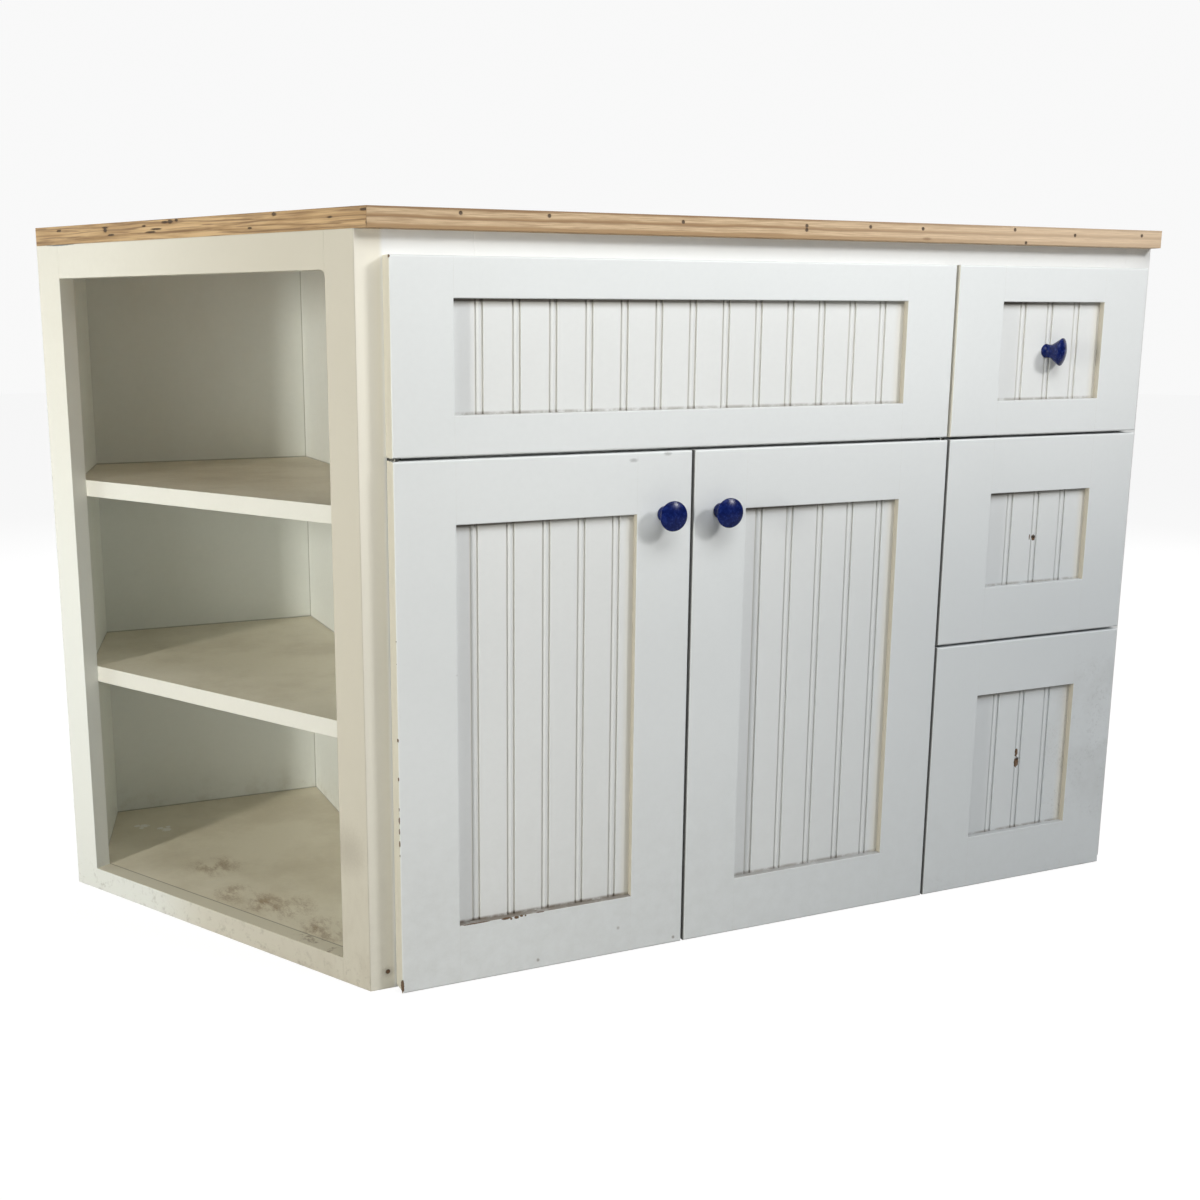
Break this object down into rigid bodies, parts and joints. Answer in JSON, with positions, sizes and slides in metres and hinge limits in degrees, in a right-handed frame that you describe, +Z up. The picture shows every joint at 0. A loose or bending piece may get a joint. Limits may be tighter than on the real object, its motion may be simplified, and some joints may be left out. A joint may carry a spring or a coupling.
{
  "type": "kitchen island unit",
  "caption": "Painted kitchen island carcass with an open shelf end on an angled face, a two-door space and stacked drawers, under a raw plywood top.",
  "frame": {"origin": "centre of the base of the unit's box, on the floor", "axes": "+Z up, the doors and drawers face -Y, the open angled end is at -X"},
  "size_m": [1.249, 0.6554, 0.795],
  "materials": {
    "white_paint": "satin cool white paint on wood, worn at the edges",
    "cream_paint": "satin warm cream paint on wood",
    "shelf_paint": "worn tan paint on wood",
    "plywood": "raw plywood with light and dark plies",
    "bare_wood": "unpainted softwood",
    "knob": "glossy cobalt blue glaze",
    "catch": "ivory moulded plastic",
    "metal": "zinc-plated steel"
  },
  "bodies": {
    "cabinet": {"top_board": "plywood", "front_left_stile": "white_paint", "front_middle_stile": "white_paint", "front_right_stile": "white_paint", "front_top_rail": "white_paint", "front_bottom_rail": "white_paint", "front_cross_rails": "white_paint", "angled_frame_stiles": "cream_paint", "angled_frame_rails": "cream_paint", "left_end_panel": "cream_paint", "shelf_partition": "cream_paint", "drawer_partition": "bare_wood", "right_end_panel": "white_paint", "back_panel": "cream_paint", "main_decks": "bare_wood", "open_deck": "shelf_paint", "upper_open_shelf": "shelf_paint", "lower_open_shelf": "shelf_paint", "top_stretchers": "bare_wood", "cabinet_shelf": "bare_wood", "shelf_pins": "metal", "false_front_frame": "white_paint", "false_front_panel": "white_paint", "false_front_battens": "bare_wood", "false_front_screws": "metal", "runner_packers": "bare_wood", "drawer_runners": "bare_wood", "door_brackets": "metal", "door_pins": "metal", "bracket_screws": "metal", "door_catches": "catch"},
    "left_door": {"left_door_frame": "white_paint", "left_door_panel": "white_paint", "left_door_bushes": "metal", "left_door_strike": "metal", "left_door_knob": "knob", "left_door_knob_screw": "metal"},
    "right_door": {"right_door_frame": "white_paint", "right_door_panel": "white_paint", "right_door_bushes": "metal", "right_door_strike": "metal", "right_door_knob": "knob", "right_door_knob_screw": "metal"},
    "top_drawer": {"top_drawer_frame": "white_paint", "top_drawer_panel": "white_paint", "top_drawer_box": "bare_wood", "top_drawer_bottom": "bare_wood", "top_drawer_stop": "bare_wood", "top_drawer_knob": "knob", "top_drawer_knob_screw": "metal"},
    "middle_drawer": {"middle_drawer_frame": "white_paint", "middle_drawer_panel": "white_paint", "middle_drawer_box": "bare_wood", "middle_drawer_bottom": "bare_wood", "middle_drawer_stop": "bare_wood"},
    "bottom_drawer": {"bottom_drawer_frame": "white_paint", "bottom_drawer_panel": "white_paint", "bottom_drawer_box": "bare_wood", "bottom_drawer_bottom": "bare_wood", "bottom_drawer_stop": "bare_wood"}
  },
  "joints": [
    {"name": "left_door_hinge", "type": "hinge", "parent": "cabinet", "child": "left_door", "pos_m": [-0.3425, -0.29725, 0], "axis": [0, 0, -1], "range_deg": [0, 90]},
    {"name": "right_door_hinge", "type": "hinge", "parent": "cabinet", "child": "right_door", "pos_m": [0.3145, -0.29725, 0], "axis": [0, 0, 1], "range_deg": [0, 85]},
    {"name": "top_drawer_slide", "type": "slide", "parent": "cabinet", "child": "top_drawer", "axis": [0, -1, 0], "range_m": [0, 0.422]},
    {"name": "middle_drawer_slide", "type": "slide", "parent": "cabinet", "child": "middle_drawer", "axis": [0, -1, 0], "range_m": [0, 0.422]},
    {"name": "bottom_drawer_slide", "type": "slide", "parent": "cabinet", "child": "bottom_drawer", "axis": [0, -1, 0], "range_m": [0, 0.422]}
  ]
}
